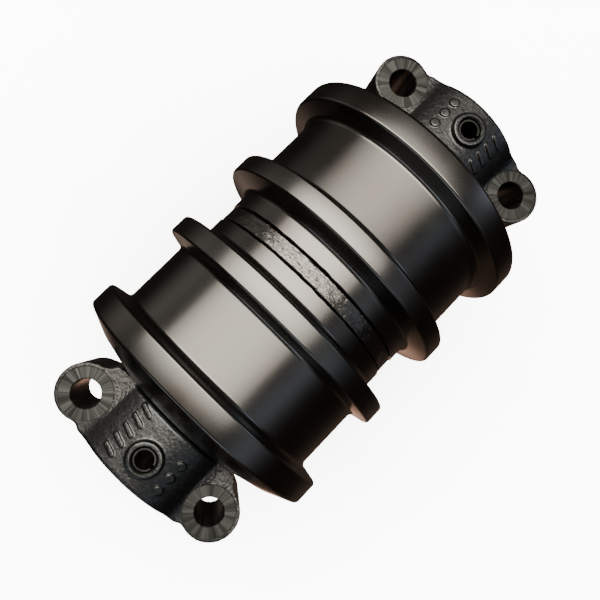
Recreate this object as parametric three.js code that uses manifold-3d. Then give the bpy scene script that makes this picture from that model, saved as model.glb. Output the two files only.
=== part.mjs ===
// Track roller of a crawler excavator, about the 50-tonne class: a two-piece welded roller
// shell with four flanges and two treads, turning on a fixed shaft between two cast collars
// that bolt up under the track frame.
//
// Millimetres. The origin is the middle of the roller on the shaft's centre line.
// +X runs along the shaft, +Z points to the side of the bolt heads, and the collars'
// mounting faces look to -Z. The two ends are the same piece turned half round about Z.

import * as THREE from 'three';
import { mergeVertices } from 'three/addons/utils/BufferGeometryUtils.js';
import Module from 'manifold-3d';

const wasm = await Module();
wasm.setup();

// ---------------------------------------------------------------- driving dimensions
const GAP = 0.3; // between touching pieces
const RIM_SIDES = 36; // facets round the shell
const CORE_SIDES = 24; // facets round the shaft, bushings and seals
const HOLE_SIDES = 24;
const SMALL_HOLE_SIDES = 12;
const RING_SECTION_SIDES = 8; // facets round a rubber ring's section
const BOSS_SEGMENTS = 10; // facets along each boss of the collar
const PAST = 1; // how far a cutter reaches past the surface that it cuts

// Roller shell, one half: distances from the weld line, and radii.
const WELD_HALF_WIDTH = 7.9;
const WELD_ROOT_HALF_WIDTH = 3;
const WELD_RADIUS = 96.3;
const WELD_ROOT_RADIUS = 82;
const MIDDLE_RADIUS = 97.6;
const MIDDLE_END = 20.5; // where the fillet of the inner flange starts
const INNER_FLANGE = { start: 29.3, end: 45.6, radius: 120.1 };
const TREAD = { start: 52.9, end: 106.5, radius: 103.7 };
const OUTER_FLANGE = { start: 113.9, end: 133.8, radius: 122.4 };
const RIM_CHAMFER = 1.6;
const FILLET_RISE = 3.6; // height of the fillet at a flange's foot
const FILLET_RUN = 0.55; // part of the foot's width that the fillet takes
const SHOULDER = { x: 144.4, radius: 100.4 }; // knee of the outer flange's cone
const HUB_FACE = { x: 151.7, radius: 75 };
const OIL_CAVITY_RADIUS = 60;
const OIL_CAVITY_END = 38;

// Shaft and bushings.
const SHAFT_RADIUS = 32.5;
const SHAFT_END = 211;
const SHAFT_CHAMFER = 2;
const RUNNING_GAP = 0.6; // wide enough for the facets to turn past each other
const BUSHING_WALL = 5.4;
const BUSHING_START = 52;
const BUSHING_FLANGE = { start: 133.8, end: 137.8, radius: 46 };
const SIDE_CLEARANCE = 0.4; // between the bushing's flange and the collar's hub

// Floating face seal: two metal rings face to face, each carried by a rubber ring.
const SEAL_PLANE = 153;
const SEAL_HOUSING_RADIUS = 55;
const SEAL_HOUSING_DEPTH = 13.4;
const SEAL_RING = { bore: 41, face: 51.5, faceThickness: 2.4, lip: 2, length: 11.5 };
const SEAL_RAMP = { radius: 46.6, run: 1.2, taper: 0.6 }; // back of the ring, where the rubber bears
const TORIC_RING = { centre: 50.8, section: 3.9, offset: 8 };

// Collar: half barrel between two ears.
const COLLAR_FACE = 154.3;
const COLLAR_END = 213.5;
const BARREL_RADIUS = 60.8;
const BARREL_CHAMFER = 3;
const HUB_WALL = 5.7;
const MOUNT_Z = -40;
const SEAL_HOUSING_END = 169; // from here outward the barrel is cut flat at MOUNT_Z
const BOLT = { x: 188, y: 69, radius: 12 };
const BOSS_RADIUS = 25;
const SPOT_FACE = { z: 36.6, radius: 22.6, depth: 0.8 };
const WEB = { inner: 154.3, halfWidth: 67, outer: 212.6, outerHalfWidth: 56 };
const WEB_TOUCH = { inner: 145, outer: -16 }; // degrees round a boss where the webs leave it

// Spring pin and its boss on the barrel's crown.
const PIN_HOLE_RADIUS = 10;
const PIN = { radius: 9.6, bore: 7.3, top: 62.5, length: 100, slotWidth: 3.4 };
const PIN_BOSS = { top: 65.3, radius: 14.3, foot: 16, footZ: 58 };
const PIN_CHAMFER = 1.2;

// O-ring between shaft and collar.
const O_RING = { x: 173.5, section: 1.4, centre: 31.05 };
const O_RING_GROOVE = { radius: 29.3, halfWidth: 2 };

// Oil filling plug in the left end of the shaft, beside the pin hole.
const OIL_PLUG = { y: 19, thread: 6, head: 9, headHeight: 4.2, headChamfer: 0.8, end: 197 };
const OIL_PLUG_SOCKET = { radius: 4.2, depth: 3.4 };
const OIL_PLUG_SEAT_DEPTH = 7;
const OIL_PLUG_SEAL = { bore: 6.8, radius: 9, thickness: 1.5 };
const OIL_GALLERY_RADIUS = 4;
const OIL_OUTLET_RADIUS = 3;

// ---------------------------------------------------------------- materials
function paint(colour, roughness, metalness) {
  return () => new THREE.MeshStandardMaterial({ color: colour, roughness, metalness });
}
const shellPaint = paint('#2b2b2d', 0.42, 0.6);
const weldMetal = paint('#3d3c3b', 0.5, 0.7);
const castPaint = paint('#2a2d2d', 0.5, 0.5);
const shaftSteel = paint('#8c9094', 0.35, 0.9);
const bushingBronze = paint('#a07a45', 0.4, 0.9);
const sealIron = paint('#70757a', 0.3, 0.9);
const sealRubber = paint('#1c1c1e', 0.8, 0);
const springSteel = paint('#3a3d3d', 0.45, 0.8);
const plugSteel = paint('#9a9c98', 0.4, 0.9);

// ---------------------------------------------------------------- solids
// A closed three.js geometry as a solid that can be joined and cut.
function solid(geometry) {
  geometry.deleteAttribute('normal');
  geometry.deleteAttribute('uv');
  const merged = mergeVertices(geometry, 1e-4);
  const index = merged.index.array;
  const triangles = [];
  for (let i = 0; i < index.length; i += 3) {
    const [a, b, c] = index.slice(i, i + 3);
    if (a !== b && b !== c && c !== a) triangles.push(a, b, c);
  }
  return new wasm.Manifold(new wasm.Mesh({
    numProp: 3,
    vertProperties: merged.attributes.position.array,
    triVerts: Uint32Array.from(triangles),
  }));
}

function geometryOf(body) {
  const mesh = body.getMesh();
  const geometry = new THREE.BufferGeometry();
  geometry.setAttribute('position', new THREE.BufferAttribute(mesh.vertProperties, 3));
  geometry.setIndex(new THREE.BufferAttribute(mesh.triVerts, 1));
  geometry.computeVertexNormals();
  return geometry;
}

// Turned about X: a closed outline of [x, radius] points in either direction.
function turned(outline, sides) {
  const points = outline.map(([x, radius]) => new THREE.Vector2(radius, x));
  if (THREE.ShapeUtils.area(points) < 0) points.reverse();
  points.push(points[0].clone());
  return solid(new THREE.LatheGeometry(points, sides).rotateZ(-Math.PI / 2));
}

function cylinderX(x0, x1, radius, sides, y = 0) {
  const geometry = new THREE.CylinderGeometry(radius, radius, x1 - x0, sides).rotateZ(-Math.PI / 2);
  return solid(geometry.translate((x0 + x1) / 2, y, 0));
}

function cylinderZ(x, y, z0, z1, radius, topRadius = radius) {
  const geometry = new THREE.CylinderGeometry(topRadius, radius, z1 - z0, HOLE_SIDES);
  return solid(geometry.rotateX(Math.PI / 2).translate(x, y, (z0 + z1) / 2));
}

function box(x0, x1, y0, y1, z0, z1) {
  const geometry = new THREE.BoxGeometry(x1 - x0, y1 - y0, z1 - z0);
  return solid(geometry.translate((x0 + x1) / 2, (y0 + y1) / 2, (z0 + z1) / 2));
}

function extrudedZ(shape, z0, z1, curveSegments) {
  const options = { depth: z1 - z0, bevelEnabled: false, curveSegments };
  return solid(new THREE.ExtrudeGeometry(shape, options).translate(0, 0, z0));
}

// ---------------------------------------------------------------- roller shell
// A flange's side from its foot on a cylinder up to its rim, with the fillet as one facet.
function flangeSide(footX, footRadius, rimX, rimRadius) {
  const filletX = footX + (rimX - footX) * FILLET_RUN;
  const outward = Math.sign(rimX - footX);
  return [
    [footX, footRadius],
    [filletX, footRadius + FILLET_RISE],
    [rimX, rimRadius - RIM_CHAMFER],
    [rimX + outward * RIM_CHAMFER, rimRadius],
  ];
}

function shellHalf() {
  const boreRadius = SHAFT_RADIUS + RUNNING_GAP + BUSHING_WALL + GAP;
  const seatX = BUSHING_FLANGE.start - GAP;
  const housingX = HUB_FACE.x - SEAL_HOUSING_DEPTH;
  const root = GAP / 2;
  const { start: i0, end: i1, radius: innerRim } = INNER_FLANGE;
  const { start: o0, end: o1, radius: outerRim } = OUTER_FLANGE;
  return turned([
    [root, OIL_CAVITY_RADIUS],
    [root, WELD_ROOT_RADIUS],
    [WELD_ROOT_HALF_WIDTH, WELD_ROOT_RADIUS],
    [WELD_HALF_WIDTH, WELD_RADIUS],
    [WELD_HALF_WIDTH + GAP, MIDDLE_RADIUS],
    ...flangeSide(MIDDLE_END, MIDDLE_RADIUS, i0, innerRim),
    ...flangeSide(TREAD.start, TREAD.radius, i1, innerRim).reverse(),
    ...flangeSide(TREAD.end, TREAD.radius, o0, outerRim),
    [o1 - RIM_CHAMFER, outerRim],
    [o1 + RIM_CHAMFER / 2, outerRim - RIM_CHAMFER],
    [SHOULDER.x, SHOULDER.radius],
    [HUB_FACE.x, HUB_FACE.radius],
    [HUB_FACE.x, SEAL_HOUSING_RADIUS],
    [housingX, SEAL_HOUSING_RADIUS],
    [housingX, BUSHING_FLANGE.radius + GAP],
    [seatX, BUSHING_FLANGE.radius + GAP],
    [seatX, boreRadius],
    [BUSHING_START - GAP, boreRadius],
    [OIL_CAVITY_END, OIL_CAVITY_RADIUS],
  ], RIM_SIDES);
}

// Weld metal that fills the groove between the two halves.
function weldBead() {
  const top = WELD_HALF_WIDTH - GAP;
  const root = WELD_ROOT_HALF_WIDTH - GAP;
  const floor = WELD_ROOT_RADIUS + GAP;
  return turned([[-root, floor], [-top, WELD_RADIUS], [top, WELD_RADIUS], [root, floor]], RIM_SIDES);
}

// Steel-backed bronze bushing with a thrust flange at its outer end.
function bushing() {
  const bore = SHAFT_RADIUS + RUNNING_GAP;
  const outer = bore + BUSHING_WALL;
  return turned([
    [BUSHING_START, bore],
    [BUSHING_START, outer],
    [BUSHING_FLANGE.start, outer],
    [BUSHING_FLANGE.start, BUSHING_FLANGE.radius],
    [BUSHING_FLANGE.end, BUSHING_FLANGE.radius],
    [BUSHING_FLANGE.end, bore],
  ], CORE_SIDES);
}

// ---------------------------------------------------------------- face seals
// side is +1 for the ring in the collar and -1 for the ring in the shell.
function sealRing(side) {
  const at = (distance) => SEAL_PLANE + side * (GAP / 2 + distance);
  return turned([
    [at(0), SEAL_RING.bore + SEAL_RING.lip],
    [at(0), SEAL_RING.face],
    [at(SEAL_RING.faceThickness), SEAL_RING.face],
    [at(SEAL_RING.faceThickness + SEAL_RAMP.run), SEAL_RAMP.radius],
    [at(SEAL_RING.length), SEAL_RAMP.radius - SEAL_RAMP.taper],
    [at(SEAL_RING.length), SEAL_RING.bore],
    [at(SEAL_RING.lip), SEAL_RING.bore],
  ], CORE_SIDES);
}

function rubberRing(x, centre, section) {
  const ring = new THREE.TorusGeometry(centre, section, RING_SECTION_SIDES, CORE_SIDES).rotateY(Math.PI / 2);
  return solid(ring.translate(x, 0, 0));
}

// ---------------------------------------------------------------- shaft
function shaft() {
  const grooveFrom = O_RING.x - O_RING_GROOVE.halfWidth;
  const grooveTo = O_RING.x + O_RING_GROOVE.halfWidth;
  const end = [
    [grooveFrom, SHAFT_RADIUS],
    [grooveFrom, O_RING_GROOVE.radius],
    [grooveTo, O_RING_GROOVE.radius],
    [grooveTo, SHAFT_RADIUS],
    [SHAFT_END - SHAFT_CHAMFER, SHAFT_RADIUS],
    [SHAFT_END, SHAFT_RADIUS - SHAFT_CHAMFER],
    [SHAFT_END, 0],
  ];
  const mirrored = end.map(([x, radius]) => [-x, radius]).reverse();
  const { y, thread, head } = OIL_PLUG;
  return turned([...mirrored, ...end], CORE_SIDES)
    .subtract(cylinderZ(BOLT.x, 0, -SHAFT_END, SHAFT_END, PIN_HOLE_RADIUS))
    .subtract(cylinderZ(-BOLT.x, 0, -SHAFT_END, SHAFT_END, PIN_HOLE_RADIUS))
    .subtract(cylinderX(-SHAFT_END - PAST, OIL_PLUG_SEAT_DEPTH - SHAFT_END, head + GAP, HOLE_SIDES, y))
    .subtract(cylinderX(-SHAFT_END - PAST, PAST - OIL_PLUG.end, thread + GAP, HOLE_SIDES, y))
    .subtract(cylinderX(-OIL_PLUG.end, 0, OIL_GALLERY_RADIUS, SMALL_HOLE_SIDES, y))
    .subtract(oilOutlet());
}

// Cross hole that lets oil from the gallery out into the cavity between the bushings.
function oilOutlet() {
  const length = SHAFT_RADIUS + PAST - OIL_PLUG.y;
  const hole = new THREE.CylinderGeometry(OIL_OUTLET_RADIUS, OIL_OUTLET_RADIUS, length, SMALL_HOLE_SIDES);
  return solid(hole.translate(-OIL_GALLERY_RADIUS, OIL_PLUG.y + length / 2, 0));
}

function oilPlug() {
  const seat = OIL_PLUG_SEAT_DEPTH - SHAFT_END;
  const under = seat - GAP - OIL_PLUG_SEAL.thickness - GAP;
  const face = under - OIL_PLUG.headHeight;
  const { radius, depth } = OIL_PLUG_SOCKET;
  const socket = new THREE.CylinderGeometry(radius, radius, 2 * depth, 6);
  return turned([
    [face, 0],
    [face, OIL_PLUG.head - OIL_PLUG.headChamfer],
    [face + OIL_PLUG.headChamfer, OIL_PLUG.head],
    [under, OIL_PLUG.head],
    [under, OIL_PLUG.thread],
    [-OIL_PLUG.end, OIL_PLUG.thread],
    [-OIL_PLUG.end, 0],
  ], HOLE_SIDES).subtract(solid(socket.rotateZ(Math.PI / 2).translate(face, 0, 0)));
}

function oilPlugSeal() {
  const x1 = OIL_PLUG_SEAT_DEPTH - SHAFT_END - GAP;
  const x0 = x1 - OIL_PLUG_SEAL.thickness;
  const { bore, radius } = OIL_PLUG_SEAL;
  return turned([[x0, bore], [x0, radius], [x1, radius], [x1, bore]], HOLE_SIDES);
}

// ---------------------------------------------------------------- collar
// Plan of both ears: a boss round each bolt, webs toward the shell and the barrel's end.
function earPlan() {
  const { x, y } = BOLT;
  const innerTouch = THREE.MathUtils.degToRad(WEB_TOUCH.inner);
  const outerTouch = THREE.MathUtils.degToRad(WEB_TOUCH.outer);
  const plan = new THREE.Shape();
  plan.moveTo(WEB.inner, -WEB.halfWidth);
  plan.lineTo(x + BOSS_RADIUS * Math.cos(innerTouch), -y - BOSS_RADIUS * Math.sin(innerTouch));
  plan.absarc(x, -y, BOSS_RADIUS, -innerTouch, -outerTouch, false);
  plan.lineTo(WEB.outer, -WEB.outerHalfWidth);
  plan.lineTo(WEB.outer, WEB.outerHalfWidth);
  plan.absarc(x, y, BOSS_RADIUS, outerTouch, innerTouch, false);
  plan.lineTo(WEB.inner, WEB.halfWidth);
  plan.closePath();
  return plan;
}

function barrel() {
  return turned([
    [COLLAR_FACE, 0],
    [COLLAR_FACE, BARREL_RADIUS - BARREL_CHAMFER],
    [COLLAR_FACE + BARREL_CHAMFER, BARREL_RADIUS],
    [COLLAR_END - BARREL_CHAMFER, BARREL_RADIUS],
    [COLLAR_END, BARREL_RADIUS - BARREL_CHAMFER],
    [COLLAR_END, 0],
  ], RIM_SIDES);
}

function collar() {
  const boreRadius = SHAFT_RADIUS + GAP;
  const hubRadius = boreRadius + HUB_WALL;
  const hubEnd = BUSHING_FLANGE.end + SIDE_CLEARANCE;
  const cavityEnd = 2 * SEAL_PLANE - (HUB_FACE.x - SEAL_HOUSING_DEPTH);
  const low = -2 * BARREL_RADIUS;
  const high = 2 * BARREL_RADIUS;
  let body = barrel()
    .subtract(box(SEAL_HOUSING_END, COLLAR_END + PAST, low, high, low, MOUNT_Z))
    .add(extrudedZ(earPlan(), MOUNT_Z, SPOT_FACE.z + SPOT_FACE.depth, BOSS_SEGMENTS))
    .add(cylinderZ(BOLT.x, 0, PIN_BOSS.footZ, PIN_BOSS.top, PIN_BOSS.foot, PIN_BOSS.radius));
  body = body
    .subtract(cylinderX(COLLAR_FACE - PAST, cavityEnd, SEAL_HOUSING_RADIUS, RIM_SIDES))
    .add(cylinderX(hubEnd, cavityEnd + PAST, hubRadius, CORE_SIDES))
    .subtract(cylinderX(hubEnd - PAST, COLLAR_END + PAST, boreRadius, CORE_SIDES))
    .subtract(cylinderZ(BOLT.x, 0, low, high, PIN_HOLE_RADIUS))
    .subtract(cylinderZ(BOLT.x, 0, PIN_BOSS.top - PIN_CHAMFER, PIN_BOSS.top + PIN_CHAMFER,
      PIN_HOLE_RADIUS, PIN_HOLE_RADIUS + 2 * PIN_CHAMFER));
  for (const side of [-1, 1]) {
    const y = side * BOLT.y;
    body = body
      .subtract(cylinderZ(BOLT.x, y, low, high, BOLT.radius))
      .subtract(cylinderZ(BOLT.x, y, SPOT_FACE.z, high, SPOT_FACE.radius));
  }
  return body;
}

// Rolled spring pin, upright, slotted along its length on its +X side.
function springPin() {
  const half = PIN.slotWidth / 2;
  const outerAngle = Math.asin(half / PIN.radius);
  const innerAngle = Math.asin(half / PIN.bore);
  const plan = new THREE.Shape();
  plan.absarc(0, 0, PIN.radius, outerAngle, -outerAngle, false);
  plan.absarc(0, 0, PIN.bore, -innerAngle, innerAngle, true);
  plan.closePath();
  return extrudedZ(plan, PIN.top - PIN.length, PIN.top, HOLE_SIDES);
}

// ---------------------------------------------------------------- the object
const roller = new THREE.Group();

function addPiece(parent, name, body, material) {
  const mesh = new THREE.Mesh(geometryOf(body), material());
  mesh.name = name;
  parent.add(mesh);
  return mesh;
}

for (const side of ['left', 'right']) {
  const end = new THREE.Group();
  end.rotation.z = side === 'left' ? Math.PI : 0;
  roller.add(end);

  addPiece(end, `shell_half_${side}`, shellHalf(), shellPaint);
  addPiece(end, `bushing_${side}`, bushing(), bushingBronze);
  addPiece(end, `seal_ring_roller_${side}`, sealRing(-1), sealIron);
  addPiece(end, `seal_ring_collar_${side}`, sealRing(1), sealIron);
  const { centre, section, offset } = TORIC_RING;
  addPiece(end, `toric_ring_roller_${side}`, rubberRing(SEAL_PLANE - offset, centre, section), sealRubber);
  addPiece(end, `toric_ring_collar_${side}`, rubberRing(SEAL_PLANE + offset, centre, section), sealRubber);
  addPiece(end, `collar_${side}`, collar(), castPaint);
  addPiece(end, `shaft_o_ring_${side}`, rubberRing(O_RING.x, O_RING.centre, O_RING.section), sealRubber);

  // Both pins stand with their slot toward -Y.
  const pin = addPiece(end, `spring_pin_${side}`, springPin(), springSteel);
  pin.position.x = BOLT.x;
  pin.rotation.z = side === 'left' ? Math.PI / 2 : -Math.PI / 2;
}

addPiece(roller, 'weld_bead', weldBead(), weldMetal);
addPiece(roller, 'shaft', shaft(), shaftSteel);
const plug = addPiece(roller, 'oil_plug', oilPlug(), plugSteel);
const plugSeal = addPiece(roller, 'oil_plug_seal', oilPlugSeal(), sealRubber);
plug.position.y = OIL_PLUG.y;
plugSeal.position.y = OIL_PLUG.y;

export default roller;
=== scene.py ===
"""Track roller: the looks. Every piece stands for one CAD node, in the same frame.

Shapes are written in millimetres along X, the shaft's axis, and turned into metres when
the meshes are made. The right end is modelled and the left end is the same piece turned
half round about Z, except that both spring pins have their slots on the same side.
"""

import math

import bmesh
import bpy
import numpy as np
import openvdb
from mathutils import Matrix, Vector, noise


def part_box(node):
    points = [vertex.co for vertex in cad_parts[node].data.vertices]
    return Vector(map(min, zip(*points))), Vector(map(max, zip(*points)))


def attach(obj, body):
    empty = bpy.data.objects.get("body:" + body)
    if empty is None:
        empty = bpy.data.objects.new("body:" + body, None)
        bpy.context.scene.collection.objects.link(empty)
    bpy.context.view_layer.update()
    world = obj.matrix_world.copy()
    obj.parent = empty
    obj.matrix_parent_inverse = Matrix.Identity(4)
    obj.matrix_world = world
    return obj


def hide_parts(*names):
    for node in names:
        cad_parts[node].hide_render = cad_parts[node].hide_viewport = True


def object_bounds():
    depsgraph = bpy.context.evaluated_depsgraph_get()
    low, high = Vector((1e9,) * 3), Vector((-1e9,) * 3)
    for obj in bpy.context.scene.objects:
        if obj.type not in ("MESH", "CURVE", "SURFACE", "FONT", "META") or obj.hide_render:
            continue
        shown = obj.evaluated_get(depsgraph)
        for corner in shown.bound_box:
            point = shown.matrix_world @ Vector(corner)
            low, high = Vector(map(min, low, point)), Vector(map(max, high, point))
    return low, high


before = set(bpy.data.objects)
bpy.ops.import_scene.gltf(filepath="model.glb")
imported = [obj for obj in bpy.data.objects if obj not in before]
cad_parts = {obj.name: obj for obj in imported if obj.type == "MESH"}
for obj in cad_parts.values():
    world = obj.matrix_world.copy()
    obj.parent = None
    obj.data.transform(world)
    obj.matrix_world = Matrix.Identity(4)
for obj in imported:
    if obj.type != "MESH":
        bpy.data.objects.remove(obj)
cad_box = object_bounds()

MM = 0.001
FINE = 224  # facets round the shell
MEDIUM = 128  # facets round the parts inside
WELD_SIDES = 720  # facets round the weld, enough for its wrinkles


def size_of(node):
    """Lowest and highest corner of a CAD node, in millimetres."""
    low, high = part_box(node)
    return [v / MM for v in low], [v / MM for v in high]


# ---------------------------------------------------------------- dimensions, millimetres
SHELL_HIGH = size_of("shell_half_right")[1]
COLLAR_LOW, COLLAR_HIGH = size_of("collar_right")
SHAFT_HIGH = size_of("shaft")[1]
PIN_LOW, PIN_HIGH = size_of("spring_pin_right")
BUSHING_LOW, BUSHING_HIGH = size_of("bushing_right")
GAP = 0.3  # stands in for press fits and squeezed rubber

OUTER_RADIUS = SHELL_HIGH[2]
INNER_RADIUS = 120.1
TREAD_RADIUS = 103.7
MIDDLE_RADIUS = 97.6
WELD_RADIUS = 96.6
WELD_ROOT = 82.0
WELD_HALF_WIDTH = 8.0
HUB_RADIUS = 75.0
HOUSING_RADIUS = 55.0  # the face seal's housing, half in the shell and half in the collar
HOUSING_DEPTH = 13.4
SEAL_PLANE = 153.0
TORIC_OFFSET, TORIC_RADIUS, TORIC_SECTION = 8.0, 50.8, 3.9
BUSHING_FLANGE = 4.0

SHAFT_RADIUS = SHAFT_HIGH[2]
SHAFT_END = SHAFT_HIGH[0]
O_RING_X, O_RING_RADIUS, O_RING_SECTION = 173.5, 31.05, 1.4
PLUG_Y = 19.0  # the oil plug stands off the shaft's centre
PLUG_DEPTH = 7.0

BARREL_RADIUS = 60.8
COLLAR_FACE = 154.3
COLLAR_END = COLLAR_HIGH[0]
MOUNT_Z = -40.0
HOUSING_END = 169.0  # from here outward the barrel is cut flat at the mounting face
BOLT_X, BOLT_Y, BOLT_RADIUS = 188.0, 69.0, 12.0
SPOT_Z, SPOT_RADIUS = 36.6, 22.6
BOSS_X, BOSS_Y, BOSS_RADIUS = 187.7, 69.9, 24.3  # the cast boss, a little off the drilled hole
EAR_TOP = 37.5
EAR_END, EAR_SIDE = 212.4, 55.0  # the wide web between barrel and boss
PAD_END, PAD_SIDE = 186.0, 66.5  # the rough pad inboard of the boss
PIN_BOSS_TOP, PIN_BOSS_FOOT, PIN_BOSS_RADIUS = COLLAR_HIGH[2], 40.0, 14.3
PIN_HOLE = 10.0
MARK_Y = 25.0  # rows of raised foundry marks on either side of the pin
MARK_HEIGHT = 2.0
BARS = [161.5 + 10 * k for k in range(5)]
PIPS = [174, 186.5, 199]


# ---------------------------------------------------------------- mesh helpers
def rounded(corners):
    """Outline through (x, radius, fillet) corners of a closed polygon, with arcs for fillets."""
    outline = []
    for i, (x, r, fillet) in enumerate(corners):
        here = Vector((x, r))
        back = Vector(corners[i - 1][:2]) - here
        ahead = Vector(corners[(i + 1) % len(corners)][:2]) - here
        if fillet <= 0:
            outline.append(here)
            continue
        half = back.angle(ahead) / 2
        reach = min(fillet / math.tan(half), 0.49 * back.length, 0.49 * ahead.length)
        radius = reach * math.tan(half)
        inward = (back.normalized() + ahead.normalized()).normalized()
        centre = here + inward * (radius / math.sin(half))
        start = here + back.normalized() * reach - centre
        end = here + ahead.normalized() * reach - centre
        turn = start.angle_signed(end)
        steps = max(2, round(abs(turn) / math.radians(9)))
        for k in range(steps + 1):
            outline.append(centre + Matrix.Rotation(-turn * k / steps, 2) @ start)
    return outline


def finer(outline, longest):
    """The same closed outline with no stretch longer than longest."""
    points = []
    for i, here in enumerate(outline):
        ahead = outline[(i + 1) % len(outline)]
        parts = max(1, math.ceil((ahead - here).length / longest))
        points += [here.lerp(ahead, k / parts) for k in range(parts)]
    return points


def turned(name, corners, sides, longest=1e9):
    """A closed body of revolution about X."""
    outline = finer(rounded(corners), longest)
    mesh = bpy.data.meshes.new(name)
    points, faces, n = [], [], len(outline)
    for k in range(sides):
        angle = 2 * math.pi * k / sides
        c, s = math.cos(angle), math.sin(angle)
        points += [(x * MM, r * s * MM, r * c * MM) for x, r in outline]
    for k in range(sides):
        a, b = k * n, (k + 1) % sides * n
        faces += [(a + i, a + (i + 1) % n, b + (i + 1) % n, b + i) for i in range(n)]
    mesh.from_pydata(points, [], faces)
    return closed(name, mesh)


def closed(name, mesh):
    """Welds the seam, turns the faces outward and makes the object."""
    work = bmesh.new()
    work.from_mesh(mesh)
    bmesh.ops.remove_doubles(work, verts=work.verts, dist=1e-6)
    bmesh.ops.dissolve_degenerate(work, dist=1e-7, edges=work.edges)
    bmesh.ops.recalc_face_normals(work, faces=work.faces)
    work.to_mesh(mesh)
    work.free()
    piece = bpy.data.objects.new(name, mesh)
    bpy.context.scene.collection.objects.link(piece)
    return piece


def smooth(piece, degrees=32):
    """Smooth shading, with edges sharper than degrees kept crisp."""
    piece.data.shade_smooth()
    piece.data.set_sharp_from_angle(angle=math.radians(degrees))


def combine(piece, other, operation):
    """Joins other to piece or cuts it away, and applies the result."""
    cut = piece.modifiers.new("cut", "BOOLEAN")
    cut.solver, cut.operation, cut.object = "MANIFOLD", operation, other
    bpy.context.view_layer.update()
    evaluated = piece.evaluated_get(bpy.context.evaluated_depsgraph_get())
    result = bpy.data.meshes.new_from_object(evaluated)
    piece.modifiers.clear()
    piece.data = result
    bpy.data.objects.remove(other)


def upright(piece, x, y):
    """Turns a body of revolution from X to Z and stands it at x, y."""
    turn = Matrix.Rotation(-math.pi / 2, 4, "Y")
    piece.data.transform(Matrix.Translation((x * MM, y * MM, 0)) @ turn)
    return piece


def shifted(piece, y):
    """Moves a piece off the shaft's axis."""
    piece.data.transform(Matrix.Translation((0, y * MM, 0)))
    return piece


def half_round(piece):
    """A copy turned half round about Z, for the left end."""
    mesh = piece.data.copy()
    mesh.transform(Matrix.Rotation(math.pi, 4, "Z"))
    copy = bpy.data.objects.new(piece.name, mesh)
    bpy.context.scene.collection.objects.link(copy)
    return copy


def install(piece, node, body, material):
    """The piece stands for the CAD node, rides on its body and takes its material."""
    piece.data.materials.clear()
    piece.data.materials.append(material)
    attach(piece, body)
    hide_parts(node)


# ---------------------------------------------------------------- roller shell
def shell_half():
    """Right half of the shell: weld groove, inner flange, tread, outer flange, hub and bores."""
    seat = BUSHING_HIGH[0] - BUSHING_FLANGE - GAP
    housing = SHELL_HIGH[0] - HOUSING_DEPTH
    piece = turned("shell_half", [
        (GAP / 2, 60, 0),
        (GAP / 2, WELD_ROOT, 0),
        (3, WELD_ROOT, 1.5),
        (8.5, MIDDLE_RADIUS, 0.7),
        (24.6, MIDDLE_RADIUS, 5),
        (28.8, INNER_RADIUS, 2.4),
        (46.1, INNER_RADIUS, 2.4),
        (49.8, TREAD_RADIUS, 4.4),
        (109.8, TREAD_RADIUS, 4.8),
        (113.4, OUTER_RADIUS, 2.8),
        (134.4, OUTER_RADIUS, 3.2),
        (144.4, 100.4, 16),
        (SHELL_HIGH[0], HUB_RADIUS, 2),
        (SHELL_HIGH[0], HOUSING_RADIUS, 0.8),
        (housing, HOUSING_RADIUS, 2),
        (housing, BUSHING_HIGH[2] + GAP, 0.5),
        (seat, BUSHING_HIGH[2] + GAP, 0.5),
        (seat, 38.8, 0.8),
        (51.7, 38.8, 1),
        (38, 60, 6),
    ], FINE)
    ragged_edge(piece)
    smooth(piece)
    return piece


def ragged_edge(piece):
    """The machined band's edge along the weld wanders a little."""
    for vertex in piece.data.vertices:
        x, y, z = (v / MM for v in vertex.co)
        radius = math.hypot(y, z)
        if x < 11 and radius > MIDDLE_RADIUS - 4:
            angle = math.atan2(y, z)
            place = Vector((11 * math.cos(angle), 11 * math.sin(angle), 3))
            vertex.co.x += 0.5 * noise.turbulence(place, 3, False) * MM


def weld_bead():
    """Weld metal with wandering edges and a wrinkled, pitted surface."""
    half = WELD_HALF_WIDTH - 0.7
    piece = turned("weld_bead", [
        (-3 + GAP, WELD_ROOT + GAP, 0),
        (-half, WELD_RADIUS, 1.1),
        (half, WELD_RADIUS, 1.1),
        (3 - GAP, WELD_ROOT + GAP, 0),
    ], WELD_SIDES, longest=0.7)
    for vertex in piece.data.vertices:
        x, y, z = (v / MM for v in vertex.co)
        radius = math.hypot(y, z)
        if radius < WELD_RADIUS - 4:
            continue
        angle = math.atan2(y, z)
        along = Vector((math.cos(angle), math.sin(angle), 0)) * WELD_RADIUS
        swell = noise.noise(along / 11 + Vector((0, 0, x / 6)))
        crease = abs(noise.noise(along / 5 + Vector((0, 0, x / 2.2 + 7))))
        pit = max(0, noise.noise(along / 2.4 + Vector((0, 0, x / 2 + 21))) - 0.25)
        edge = noise.noise(along / 7 + Vector((0, 0, 40 * math.copysign(1, x))))
        lift = 0.3 * swell - 0.5 * max(0, 0.16 - crease) - 0.6 * pit
        scale = (radius + lift) / radius
        shift = 0.55 * edge * abs(x) / half
        vertex.co = Vector((x + shift, y * scale, z * scale)) * MM
    smooth(piece, 60)
    return piece


# ---------------------------------------------------------------- collar
VOXEL = 0.6  # grid of the collar's distance field


def blended(a, b, width):
    """Union of two distance fields with a fillet about as wide as width."""
    h = np.clip(0.5 + 0.5 * (b - a) / width, 0, 1)
    return b * (1 - h) + a * h - width * h * (1 - h)


def edged(across, along, edge):
    """Meeting of two half spaces with a rounded edge."""
    a, b = across + edge, along + edge
    return np.minimum(np.maximum(a, b), 0) + np.hypot(np.maximum(a, 0), np.maximum(b, 0)) - edge


def slab(value, low, high):
    """Distance outside the layer between low and high."""
    return np.abs(value - (low + high) / 2) - (high - low) / 2


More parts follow.
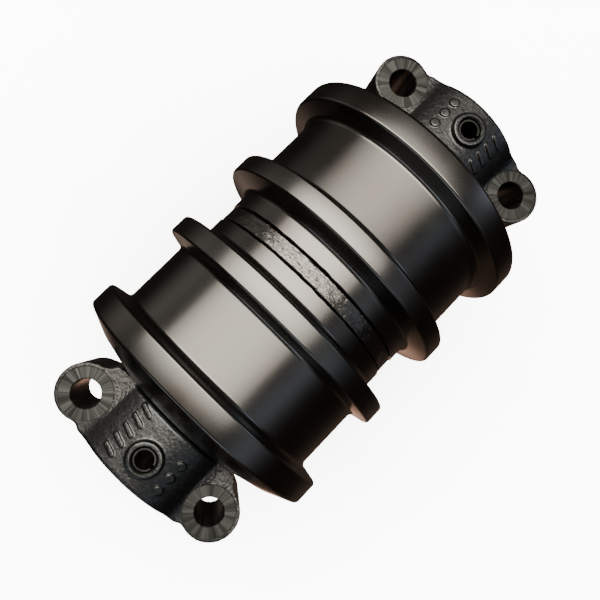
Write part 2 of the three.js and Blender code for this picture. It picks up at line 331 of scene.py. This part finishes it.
def casting():
    """The collar as it leaves the mould, from a distance field: barrel, ears, webs, pin boss."""
    low = np.array([COLLAR_FACE - 5, COLLAR_LOW[1] - 4, COLLAR_LOW[2] - 4])
    high = np.array([COLLAR_END + 5, COLLAR_HIGH[1] + 4, COLLAR_HIGH[2] + 4])
    counts = np.ceil((high - low) / VOXEL).astype(int)
    x, y, z = (low[i] + VOXEL * np.arange(counts[i]) for i in range(3))
    x, y, z = np.meshgrid(x.astype("f4"), y.astype("f4"), z.astype("f4"), indexing="ij")
    side = np.abs(y)

    radius = np.hypot(y, z)
    barrel = edged(radius - BARREL_RADIUS + 0.1, COLLAR_FACE - x, 4.5)
    barrel = edged(barrel, x - COLLAR_END + 0.2, 3)
    draft = (EAR_TOP - z) * 0.01
    boss = np.hypot(x - BOSS_X, side - BOSS_Y) - BOSS_RADIUS - draft
    wide = edged(slab(x, COLLAR_FACE + 0.3, EAR_END), side - EAR_SIDE, 3)
    inboard = edged(slab(x, COLLAR_FACE + 0.3, PAD_END), side - PAD_SIDE, 4)
    plan = blended(blended(boss, inboard, 12), wide, 9)
    ears = edged(plan, slab(z, MOUNT_Z - 2, EAR_TOP), 1.2)
    body = blended(barrel, ears, 6)
    pin_boss = np.hypot(x - BOLT_X, y) - PIN_BOSS_RADIUS
    pin_boss = edged(pin_boss, slab(z, PIN_BOSS_FOOT, PIN_BOSS_TOP), 1.3)
    body = blended(body, pin_boss, 2.5)
    skin = slab(radius, 50, BARREL_RADIUS + MARK_HEIGHT) + 99 * (z < 0)  # the upper side only
    for mark in foundry_marks(x, y):
        body = blended(body, edged(mark, skin, 0.8), 0.4)
    # the blends swell past both end faces, so they are trimmed flat, clear of the turning hub
    body = np.maximum(body, x - COLLAR_END + 0.3)
    body = np.maximum(body, COLLAR_FACE + 0.1 - x)
    return body_of_field(body, low)


def body_of_field(body, low):
    """Mesh of a distance field's surface, with the sand-cast skin on it."""
    grid = openvdb.FloatGrid(3.0)
    grid.copyFromArray(np.clip(body / VOXEL, -3, 3).astype("f4"))
    points, triangles, quads = grid.convertToPolygons()
    mesh = bpy.data.meshes.new("collar")
    faces = [tuple(int(v) for v in face) for face in (*triangles, *quads)]
    mesh.from_pydata(((points * VOXEL + low) * MM).tolist(), [], faces)
    piece = closed("collar", mesh)
    roughen(piece)
    return piece


def foundry_marks(x, y):
    """Plans of plain raised marks: slanted bars on one side of the pin, round pips on the other."""
    for middle in BARS:
        across = y + MARK_Y
        along = x - middle - 0.25 * across
        beyond = np.maximum(np.abs(along) - 0.5, 0), np.maximum(np.abs(across) - 4.6, 0)
        yield np.hypot(*beyond) - 1.6
    for middle in PIPS:
        yield np.hypot(x - middle, y - MARK_Y) - 4


def roughen(piece):
    """Sand-cast skin: shallow lumps and pits, deeper on the flat pads beside the bosses."""
    mesh = piece.data
    mesh.update()
    moved = []
    for vertex in mesh.vertices:
        p = vertex.co / MM
        pad = p.z > EAR_TOP - 1.5 and abs(p.y) > 46 and p.x < 192
        lump = noise.noise(p / 6)
        grain = noise.noise(p / 2.3 + Vector((9, 5, 2)))
        lift = 0.09 * lump + (0.3 if pad else 0.05) * grain
        moved.append(vertex.co + vertex.normal * lift * MM)
    for vertex, place in zip(mesh.vertices, moved):
        vertex.co = place


def hole(x, y, low, high, radius, chamfer=0.0, top=0.0):
    """Upright drill with a countersink at height top."""
    corners = [(low, 0, 0), (low, radius, 0)]
    if chamfer:
        corners += [(top - chamfer, radius, 0), (top, radius + chamfer, 0)]
    corners += [(high, radius + chamfer, 0), (high, 0, 0)]
    return upright(turned("drill", corners, 96), x, y)


def mill():
    """Everything below the mounting face, clear of the round seal housing."""
    bpy.ops.mesh.primitive_cube_add()
    block = bpy.context.object
    size = Vector((COLLAR_END - COLLAR_FACE + 10, 210, 60))
    centre = Vector(((COLLAR_END + COLLAR_FACE) / 2, 0, MOUNT_Z - 30))
    block.data.transform(Matrix.Translation(centre * MM) @ Matrix.Diagonal((*(size * MM / 2), 1)))
    keep = turned("keep", [
        (100, 0, 0), (100, 62.5, 0), (HOUSING_END, 62.5, 1), (HOUSING_END, 0, 0),
    ], 128)
    combine(block, keep, "DIFFERENCE")
    return block


def collar():
    """The casting after machining: mounting face, spot faces, holes, bore and seal housing."""
    piece = casting()
    combine(piece, mill(), "DIFFERENCE")
    bore = SHAFT_RADIUS + GAP
    hub = bore + 5.7
    cavity = 2 * SEAL_PLANE - (SHELL_HIGH[0] - HOUSING_DEPTH)
    combine(piece, turned("housing", [
        (140, 0, 0), (140, HOUSING_RADIUS + 1, 0), (COLLAR_FACE, HOUSING_RADIUS + 1, 0),
        (COLLAR_FACE + 1, HOUSING_RADIUS, 0), (cavity, HOUSING_RADIUS, 2), (cavity, 0, 0),
    ], 160), "DIFFERENCE")
    combine(piece, turned("hub", [
        (COLLAR_LOW[0], 0, 0), (COLLAR_LOW[0], hub, 0.8), (cavity + 2, hub, 0), (cavity + 2, 0, 0),
    ], 128), "UNION")
    combine(piece, turned("bore", [
        (100, 0, 0), (100, bore, 0), (COLLAR_END - 1.4, bore, 0), (COLLAR_END + 2, bore + 3.4, 0),
        (COLLAR_END + 2, 0, 0),
    ], 128), "DIFFERENCE")
    pin_hole = hole(BOLT_X, 0, -80, 80, PIN_HOLE, 1.1, PIN_BOSS_TOP - 0.1)
    combine(piece, pin_hole, "DIFFERENCE")
    for y in (-BOLT_Y, BOLT_Y):
        combine(piece, hole(BOLT_X, y, -80, 80, BOLT_RADIUS, 0.7, SPOT_Z), "DIFFERENCE")
        spot = turned("spot", [
            (SPOT_Z, 0, 0), (SPOT_Z, SPOT_RADIUS - 0.8, 0), (SPOT_Z - 0.5, SPOT_RADIUS - 0.4, 0),
            (SPOT_Z - 0.5, SPOT_RADIUS, 0), (60, SPOT_RADIUS, 0), (60, 0, 0),
        ], 128)
        combine(piece, upright(spot, BOLT_X, y), "DIFFERENCE")
    smooth(piece, 28)
    return piece


def machined_faces(piece):
    """Gives the cut faces the second material: spot faces, holes, mounting face, bores."""
    for face in piece.data.polygons:
        x, y, z = (abs(v) / MM for v in face.center)
        height = face.center.z / MM
        from_bolt, from_pin = math.hypot(x - BOLT_X, y - BOLT_Y), math.hypot(x - BOLT_X, y)
        from_axis = math.hypot(y, z)
        spot = from_bolt < SPOT_RADIUS - 0.7 and SPOT_Z - 0.1 < height
        drilled = from_bolt < BOLT_RADIUS + 0.9 or from_pin < PIN_HOLE + 0.3
        under = face.normal.z < -0.99 and abs(height - MOUNT_Z) < 0.05
        housing = from_axis < HOUSING_RADIUS + 1 and x < 170
        bore = from_axis < SHAFT_RADIUS + 3.5
        inside = housing or bore
        face.material_index = int(spot or drilled or under or inside)


# ---------------------------------------------------------------- small pieces
def spring_pin(x):
    """Rolled spring pin at x: a slotted tube with tapered ends, its slot toward -Y."""
    low, high = PIN_LOW[2], PIN_HIGH[2]
    outer, inner, half_slot, steps = 9.6, 7.3, 1.7, 72
    levels = [
        (low, 1.0), (low + 0.4, 0.6), (low + 2.5, 0),
        (high - 2.5, 0), (high - 0.4, 0.6), (high, 1.0),
    ]
    work = bmesh.new()
    rings = []
    for z, taper in levels:
        ring = []
        inset = (outer - inner) * 0.28 * taper
        for radius in (outer - inset, inner + inset * 0.5):
            start = math.asin(half_slot / radius)
            for k in range(steps + 1):
                angle = start + (2 * math.pi - 2 * start) * k / steps - math.pi / 2
                ring.append((x + radius * math.cos(angle), radius * math.sin(angle), z))
        order = [*range(steps + 1), *range(2 * steps + 1, steps, -1)]
        rings.append([work.verts.new(Vector(ring[i]) * MM) for i in order])
    count = len(rings[0])
    for below, above in zip(rings, rings[1:]):
        for i in range(count):
            j = (i + 1) % count
            work.faces.new((below[i], below[j], above[j], above[i]))
    for ring in (rings[0], rings[-1]):
        for k in range(steps):
            work.faces.new((ring[k], ring[k + 1], ring[count - 2 - k], ring[count - 1 - k]))
    mesh = bpy.data.meshes.new("spring_pin")
    work.to_mesh(mesh)
    work.free()
    piece = closed("spring_pin", mesh)
    smooth(piece, 35)
    return piece


def shaft():
    """Ground shaft with O-ring grooves, pin holes and the oil gallery's mouth."""
    groove = O_RING_X
    half = [
        (groove - 2, SHAFT_RADIUS, 0.3), (groove - 2, 29.3, 0.5), (groove + 2, 29.3, 0.5),
        (groove + 2, SHAFT_RADIUS, 0.3), (SHAFT_END - 2, SHAFT_RADIUS, 0.4),
        (SHAFT_END, SHAFT_RADIUS - 2, 0.4), (SHAFT_END, 0, 0),
    ]
    mirrored = [(-x, r, fillet) for x, r, fillet in reversed(half)]
    piece = turned("shaft", [*mirrored, *half], MEDIUM)
    for x in (-BOLT_X, BOLT_X):
        combine(piece, hole(x, 0, -80, 80, PIN_HOLE), "DIFFERENCE")
    mouth = turned("mouth", [
        (-SHAFT_END - 5, 0, 0), (-SHAFT_END - 5, 10, 0), (-SHAFT_END - 0.1, 10, 0),
        (-SHAFT_END + 0.6, 9.3, 0), (PLUG_DEPTH - SHAFT_END, 9.3, 0), (PLUG_DEPTH - SHAFT_END, 6.3, 0),
        (-196, 6.3, 0), (-193, 4, 0), (0, 4, 1.5), (0, 0, 0),
    ], 64)
    combine(piece, shifted(mouth, PLUG_Y), "DIFFERENCE")
    smooth(piece)
    return piece


def bushing():
    """Flanged bushing, pressed into the shell from its outer end."""
    bore, flange = 33.1, BUSHING_HIGH[2]
    low, high = BUSHING_LOW[0], BUSHING_HIGH[0]
    shoulder = high - BUSHING_FLANGE
    piece = turned("bushing", [
        (low, bore, 0.8), (low, bore + 5.4, 1.2), (shoulder, bore + 5.4, 0.3),
        (shoulder, flange, 0.5), (high, flange, 0.8), (high, bore, 0.8),
    ], MEDIUM)
    smooth(piece)
    return piece


def seal_ring(side):
    """Metal face-seal ring; side is 1 in the collar and -1 in the shell."""
    def at(distance):
        return SEAL_PLANE + side * (GAP / 2 + distance)
    piece = turned("seal_ring", [
        (at(0), 43, 0.3), (at(0), 51.5, 0.5), (at(2.4), 51.5, 0.5), (at(3.6), 46.6, 2),
        (at(11.5), 46, 0.8), (at(11.5), 41, 0.5), (at(2), 41, 0.5),
    ], MEDIUM)
    smooth(piece)
    return piece


def rubber_ring(x, centre, section):
    """Ring of round section about the shaft."""
    outline, steps = [], 20
    for k in range(steps):
        angle = 2 * math.pi * k / steps
        outline.append((x + section * math.cos(angle), centre + section * math.sin(angle), 0))
    piece = turned("rubber_ring", outline, MEDIUM)
    smooth(piece, 60)
    return piece


def oil_plug():
    """Socket-head plug, with its thread as a row of fine grooves."""
    under = PLUG_DEPTH - SHAFT_END - 2.1
    face = under - 4.2
    pitch = 1.5
    turns = [under + 1.2 + pitch * k for k in range(6)]
    thread = [(x, r, 0.1) for t in turns for x, r in ((t, 6), (t + pitch / 2, 5.2))]
    piece = turned("oil_plug", [
        (face, 0, 0), (face, 9, 0.9), (under, 9, 0.4), (under, 5.3, 0.2), *thread,
        (-197, 5.4, 0.3), (-197, 0, 0),
    ], 96)
    socket = turned("socket", [
        (face - 1, 0, 0), (face - 1, 4.2, 0), (face + 3.2, 4.2, 0), (face + 4.4, 0, 0),
    ], 6)
    combine(piece, socket, "DIFFERENCE")
    smooth(piece)
    return shifted(piece, PLUG_Y)


def oil_plug_seal():
    """Flat ring under the plug's head."""
    high = PLUG_DEPTH - SHAFT_END - GAP
    piece = turned("oil_plug_seal", [
        (high - 1.5, 6.8, 0.5), (high - 1.5, 9, 0.6), (high, 9, 0.6), (high, 6.8, 0.5),
    ], 96)
    smooth(piece)
    return shifted(piece, PLUG_Y)


# ---------------------------------------------------------------- materials
class Nodes:
    """A node tree with short calls to add and join nodes."""

    def __init__(self, owner, shader):
        owner.use_nodes = True
        self.tree = owner.node_tree
        self.shader = self.tree.nodes[shader]

    def outputs(self, kind, inputs=None, **settings):
        """Adds a node, sets or links its inputs, and returns all its outputs."""
        node = self.tree.nodes.new("ShaderNode" + kind)
        for key, value in settings.items():
            setattr(node, key, value)
        for key, value in (inputs or {}).items():
            if hasattr(value, "is_output"):
                self.tree.links.new(value, node.inputs[key])
            else:
                node.inputs[key].default_value = value
        return node.outputs

    def add(self, kind, inputs=None, **settings):
        """The same for a node whose first output is the one wanted."""
        return self.outputs(kind, inputs, **settings)[0]

    def place(self):
        """Object position in millimetres."""
        where = self.outputs("TexCoord")["Object"]
        return self.add("VectorMath", {0: where, "Scale": 1 / MM}, operation="SCALE")

    def split(self, vector):
        return tuple(self.outputs("SeparateXYZ", {0: vector}))

    def noise(self, where, scale, detail=3.0, rough=0.55):
        inputs = {"Vector": where, "Scale": scale, "Detail": detail, "Roughness": rough}
        return self.add("TexNoise", inputs)

    def streaks(self, value, scale, detail, rough=0.5):
        """Noise that changes only with one value, such as rings with the radius."""
        inputs = {"W": value, "Scale": scale, "Detail": detail, "Roughness": rough}
        return self.add("TexNoise", inputs, noise_dimensions="1D")

    def math(self, operation, a, b=0.0, c=0.0):
        return self.add("Math", {0: a, 1: b, 2: c}, operation=operation)

    def hypot(self, a, b):
        squares = self.math("MULTIPLY", a, a), self.math("MULTIPLY", b, b)
        return self.math("SQRT", self.math("ADD", *squares))

    def span(self, value, low, high, to_low, to_high):
        """Maps value from one range to another, clamped."""
        names = ("Value", "From Min", "From Max", "To Min", "To Max")
        return self.add("MapRange", dict(zip(names, (value, low, high, to_low, to_high))))

    def mix(self, factor, a, b):
        """Colour mix; 6, 7 and the third output are the node's colour sockets."""
        return self.outputs("Mix", {0: factor, 6: a, 7: b}, data_type="RGBA")[2]

    def feed(self, socket, value):
        """Links value to the shader."""
        self.tree.links.new(value, self.shader.inputs[socket])

    def bump(self, height, distance, strength=1.0, under=None):
        """Feeds the shader a bump of distance millimetres, over the bump given as under."""
        inputs = {"Height": height, "Distance": distance * MM, "Strength": strength}
        if under is not None:
            inputs["Normal"] = under
        normal = self.add("Bump", inputs)
        self.feed("Normal", normal)
        return normal


def material(name, **shader):
    """A new material: its nodes, with the given shader sockets set."""
    owner = bpy.data.materials.new(name)
    nodes = Nodes(owner, "Principled BSDF")
    for socket, value in shader.items():
        nodes.shader.inputs[socket.replace("_", " ")].default_value = value
    return owner, nodes


def painted_steel():
    """Thin satin black over turned steel: fine rings from the lathe and a cloudy sheen."""
    finish, m = material("painted_steel", Metallic=1.0)
    x, y, z = m.split(m.place())
    cloud = m.noise(m.place(), 0.018, 3)
    rings = m.streaks(m.math("ADD", x, m.math("MULTIPLY", m.hypot(y, z), 0.7)), 1.3, 2.0)
    skin = m.noise(m.place(), 0.9, 2)
    warm, cool = (0.14, 0.131, 0.122, 1), (0.138, 0.14, 0.132, 1)
    m.feed("Base Color", m.mix(m.span(cloud, 0.35, 0.65, 0, 1), warm, cool))
    sheen = m.span(cloud, 0.3, 0.7, 0.2, 0.25)
    m.feed("Roughness", m.math("ADD", sheen, m.span(rings, 0.3, 0.7, -0.01, 0.01)))
    first = m.bump(rings, 0.02, 0.1)
    m.bump(skin, 0.03, 0.08, under=first)
    return finish


def weld_metal():
    """Weld metal under the same thin paint, with long wrinkles, pits, and painted shade as dark lines
    in broken creases.
    """
    finish, m = material("weld_metal", Metallic=1.0)
    x, y, z = m.split(m.place())
    angle = m.math("ARCTAN2", y, z)
    unrolled = {0: m.math("MULTIPLY", x, 0.45), 1: m.math("MULTIPLY", angle, 10.0)}
    wrinkles = m.noise(m.add("CombineXYZ", unrolled), 1.0, 2, 0.6)
    grain = m.noise(m.place(), 0.9, 3)
    # painted shade: thin near-black lines of base colour along the creases stand in for the shade that
    # falls in them
    crease_shade = m.span(m.math("ABSOLUTE", m.math("SUBTRACT", wrinkles, 0.5)), 0.0, 0.012, 0, 1)
    whole = m.span(m.noise(m.place(), 0.06, 2), 0.47, 0.52, 1, 0)
    clear = m.math("MAXIMUM", crease_shade, whole)
    # clear is 0 along the creases, where the base colour is painted dark as shade, and 1 elsewhere
    m.feed("Base Color", m.mix(clear, (0.03, 0.028, 0.026, 1), (0.15, 0.146, 0.136, 1)))
    m.feed("Roughness", m.span(grain, 0.3, 0.7, 0.2, 0.28))
    first = m.bump(m.math("ADD", wrinkles, m.math("MULTIPLY", clear, 0.15)), 1.0, 0.6)
    m.bump(grain, 0.05, 0.3, under=first)
    return finish


def cast_paint():
    """Glossy black over a sand-cast skin, with rougher pads beside the bosses."""
    finish, m = material("cast_paint", Metallic=1.0)
    lumps = m.noise(m.place(), 0.4, 3, 0.6)
    sand = m.noise(m.place(), 1.1, 3, 0.6)
    x, y, z = m.split(m.place())
    high = m.span(z, EAR_TOP - 2.5, EAR_TOP - 1, 0, 1)
    inboard = m.span(m.math("ABSOLUTE", x), PAD_END, PAD_END + 10, 1, 0)
    beside = m.math("MULTIPLY", inboard, m.span(m.math("ABSOLUTE", y), 45, 48, 0, 1))
    pad = m.math("MULTIPLY", high, beside)
    black, dusty = (0.06, 0.064, 0.064, 1), (0.095, 0.099, 0.097, 1)
    skin = m.mix(m.span(lumps, 0.35, 0.65, 0, 1), black, dusty)
    m.feed("Base Color", m.mix(pad, skin, (0.09, 0.09, 0.085, 1)))
    gloss = m.span(sand, 0.3, 0.7, 0.26, 0.38)
    m.feed("Roughness", m.math("ADD", gloss, m.math("MULTIPLY", pad, 0.06)))
    coarse = m.math("MULTIPLY", lumps, m.span(pad, 0, 1, 0.4, 2.0))
    fine = m.math("MULTIPLY", sand, m.span(pad, 0, 1, 0.9, 2.5))
    m.bump(fine, 0.07, 0.6, under=m.bump(coarse, 0.8, 0.8))
    return finish


def spot_faced():
    """Machined faces of the collar, with the cutter's radial chatter round each bolt."""
    finish, m = material("spot_faced", Metallic=1.0)
    x, y = m.split(m.place())[:2]
    dx = m.math("SUBTRACT", m.math("ABSOLUTE", x), BOLT_X)
    dy = m.math("SUBTRACT", m.math("ABSOLUTE", y), BOLT_Y)
    # each of the four seats starts its pattern elsewhere
    corner = m.math("ADD", m.math("SIGN", x), m.math("MULTIPLY", m.math("SIGN", y), 2.0))
    turn = m.math("ADD", m.math("ARCTAN2", dy, dx), m.math("MULTIPLY", corner, 5.0))
    wedges = m.streaks(turn, 2.6, 4.0, 0.75)
    scores = m.streaks(turn, 24.0, 1.0)
    rings = m.streaks(m.hypot(dx, dy), 1.6, 2.0)
    wedge = m.math("ADD", m.span(wedges, 0.42, 0.6, 0, 0.75), m.span(scores, 0.62, 0.7, 0, 0.5))
    m.feed("Base Color", m.mix(wedge, (0.041, 0.043, 0.04, 1), (0.086, 0.089, 0.083, 1)))
    m.feed("Roughness", m.span(wedges, 0.3, 0.7, 0.3, 0.46))
    m.bump(rings, 0.03, 0.5, under=m.bump(wedges, 0.35, 0.8))
    return finish


def bare_metal(name, colour, rough):
    """Turned or ground bare metal: fine rings about the shaft and faint stains."""
    finish, m = material(name, Metallic=1.0)
    x, y, z = m.split(m.place())
    rings = m.streaks(m.math("ADD", x, m.hypot(y, z)), 3.0, 3.0)
    stain = m.noise(m.place(), 0.12, 4)
    darker = tuple(0.72 * c for c in colour)
    m.feed("Base Color", m.mix(m.span(stain, 0.35, 0.65, 0, 1), (*darker, 1), (*colour, 1)))
    dull = m.span(stain, 0.3, 0.7, rough - 0.05, rough + 0.05)
    m.feed("Roughness", m.math("ADD", dull, m.span(rings, 0.3, 0.7, -0.04, 0.04)))
    m.bump(rings, 0.01, 0.5)
    return finish


def black_rubber():
    """Moulded nitrile: near black, slightly dusty, finely pored."""
    finish, m = material("black_rubber")
    dust = m.noise(m.place(), 0.2, 4)
    pores = m.noise(m.place(), 2.5, 2)
    clean, dusty = (0.016, 0.016, 0.017, 1), (0.03, 0.03, 0.032, 1)
    m.feed("Base Color", m.mix(m.span(dust, 0.4, 0.7, 0, 1), clean, dusty))
    m.feed("Roughness", m.span(dust, 0.3, 0.7, 0.55, 0.75))
    m.bump(pores, 0.04, 0.5)
    return finish


# ---------------------------------------------------------------- assembly
shell_finish, weld_finish = painted_steel(), weld_metal()
cast_finish, cut_finish = cast_paint(), spot_faced()
shaft_finish = bare_metal("shaft_steel", (0.42, 0.43, 0.44), 0.3)
bronze_finish = bare_metal("bushing_bronze", (0.5, 0.34, 0.16), 0.35)
iron_finish = bare_metal("seal_iron", (0.25, 0.255, 0.26), 0.28)
spring_finish = bare_metal("spring_steel", (0.06, 0.06, 0.058), 0.36)
plug_finish = bare_metal("plug_steel", (0.5, 0.5, 0.47), 0.4)
rubber_finish = black_rubber()


def both_ends(piece, stem, body, material):
    """Installs the right-hand piece and its turned copy on the left."""
    for side, end in (("left", half_round(piece)), ("right", piece)):
        end.name = f"{stem}_{side}_look"
        install(end, f"{stem}_{side}", body, material)


both_ends(shell_half(), "shell_half", "roller", shell_finish)
both_ends(bushing(), "bushing", "roller", bronze_finish)
both_ends(seal_ring(-1), "seal_ring_roller", "roller", iron_finish)
both_ends(seal_ring(1), "seal_ring_collar", "mount", iron_finish)
for stem, body, x, radius, section in (
    ("toric_ring_roller", "roller", SEAL_PLANE - TORIC_OFFSET, TORIC_RADIUS, TORIC_SECTION),
    ("toric_ring_collar", "mount", SEAL_PLANE + TORIC_OFFSET, TORIC_RADIUS, TORIC_SECTION),
    ("shaft_o_ring", "mount", O_RING_X, O_RING_RADIUS, O_RING_SECTION),
):
    both_ends(rubber_ring(x, radius, section), stem, body, rubber_finish)
install(weld_bead(), "weld_bead", "roller", weld_finish)
install(shaft(), "shaft", "mount", shaft_finish)
install(oil_plug(), "oil_plug", "mount", plug_finish)
install(oil_plug_seal(), "oil_plug_seal", "mount", rubber_finish)

right_collar = collar()
for side, x, casting_look in (
    ("left", -BOLT_X, half_round(right_collar)),
    ("right", BOLT_X, right_collar),
):
    casting_look.name = f"collar_{side}_look"
    install(casting_look, f"collar_{side}", "mount", cast_finish)
    casting_look.data.materials.append(cut_finish)
    machined_faces(casting_look)
    pin = spring_pin(x)
    pin.name = f"spring_pin_{side}_look"
    install(pin, f"spring_pin_{side}", "mount", spring_finish)


# ---------------------------------------------------------------- camera, floor and light
CAMERA_PLACE = (-0.08127, 0.03064, 0.55434)
CAMERA_TURN = (2.961, -7.745, -45.388)  # degrees about X, Y and Z
SENSOR, FOCAL_LENGTH = 36, 37.26
FLOOR_REACH = 6.0
KEY_PLACE, KEY_COLOUR = (0.2, 0.52, 1.41), (1, 0.93, 0.84)
# one soft key: width, height and power of boxes inside each other, brightest in the middle
KEY_BOXES = [(0.33, 1.2, 11.5), (0.46, 1.7, 18.5), (0.63, 2.3, 27.0), (0.92, 3.15, 28.5)]


def camera():
    """The photograph's view: nearly straight down on the bolt seats, from the left half."""
    lens = bpy.data.cameras.new("camera")
    lens.sensor_width, lens.lens = SENSOR, FOCAL_LENGTH
    lens.clip_start, lens.clip_end = 0.02, 20
    view = bpy.data.objects.new("camera", lens)
    view.location = CAMERA_PLACE
    view.rotation_euler = tuple(math.radians(a) for a in CAMERA_TURN)
    bpy.context.scene.collection.objects.link(view)
    bpy.context.scene.camera = view


def floor():
    """Pale floor under the roller, left out of what gloss sees."""
    mesh = bpy.data.meshes.new("floor")
    z = cad_box[0][2]
    corners = [(x * FLOOR_REACH, y * FLOOR_REACH, z) for x, y in ((-1, -1), (1, -1), (1, 1), (-1, 1))]
    mesh.from_pydata(corners, [], [(0, 1, 2, 3)])
    ground = bpy.data.objects.new("floor", mesh)
    bpy.context.scene.collection.objects.link(ground)
    finish, m = material("floor", Roughness=0.8)
    cloud = m.span(m.noise(m.place(), 0.004, 4), 0.3, 0.7, 0, 1)
    m.feed("Base Color", m.mix(cloud, (0.8, 0.79, 0.78, 1), (0.84, 0.83, 0.82, 1)))
    mesh.materials.append(finish)
    ground.visible_glossy = False


def softbox(name, place, width, height, power, colour):
    """Area light facing the roller, its width along X."""
    lamp = bpy.data.lights.new(name, "AREA")
    lamp.shape, lamp.size, lamp.size_y = "RECTANGLE", width, height
    lamp.energy, lamp.color = power, colour
    light = bpy.data.objects.new(name, lamp)
    back = Vector(place).normalized()
    up = back.cross((1, 0, 0)).normalized()
    across = up.cross(back)
    facing = Matrix((across, up, back)).transposed().to_4x4()
    light.matrix_world = Matrix.Translation(place) @ facing
    bpy.context.scene.collection.objects.link(light)


def surroundings():
    """A pale room for the floor and the eye; gloss sees dark walls, dim panels and brown ground."""
    world = bpy.data.worlds.new("world")
    bpy.context.scene.world = world
    m = Nodes(world, "Background")
    world.cycles.sampling_method = "NONE"
    x, y, z = m.split(m.outputs("TexCoord")["Generated"])
    tilt = m.math("MULTIPLY", m.math("ARCTAN2", y, z), 180 / math.pi)

    def bell(value, centre, width):
        """1 at the centre, falling smoothly to nothing about two widths away."""
        off = m.math("DIVIDE", m.math("SUBTRACT", value, centre), width)
        return m.math("EXPONENT", m.math("MULTIPLY", m.math("MULTIPLY", off, off), -1.0))

    def glow(colour, *shares):
        """A panel's light: its colour times all of its shares."""
        amount = shares[0]
        for share in shares[1:]:
            amount = m.math("MULTIPLY", amount, share)
        return m.add("VectorMath", {0: colour, "Scale": amount}, operation="SCALE")

    upper = m.span(z, 0.05, 0.3, 0, 1)
    low, lowest = m.span(z, -0.85, -0.95, 0, 1), m.span(z, -0.9, -0.95, 0, 1)
    panels = [
        glow((0.42, 0.4, 0.37), bell(tilt, 95, 17), bell(x, -0.02, 0.32)),
        glow((0.34, 0.38, 0.45), bell(tilt, -50, 13), m.span(x, 0.1, 0.2, 1, 0.5)),
        glow((0.9, 1.05, 1.35), bell(tilt, -50, 12), bell(x, 0.6, 0.12)),
        glow((1.5, 1.6, 1.75), bell(x, -0.87, 0.06), upper),
        glow((0.085, 0.055, 0.04), bell(tilt, -142, 22)),
        glow((2.7, 1.55, 1.1), bell(x, -0.2, 0.12), bell(y, -0.24, 0.12), lowest),
        glow((0.5, 0.36, 0.29), bell(x, -0.27, 0.15), bell(y, 0.21, 0.1), low),
    ]
    total = (0.02, 0.015, 0.012)
    for panel in panels:
        total = m.add("VectorMath", {0: total, 1: panel}, operation="ADD")
    glossy = m.outputs("LightPath")["Is Glossy Ray"]
    m.feed("Color", m.mix(glossy, (14.0, 13.9, 13.8, 1), total))


camera()
floor()
surroundings()
for width, height, power in KEY_BOXES:
    softbox("key", KEY_PLACE, width, height, power, KEY_COLOUR)
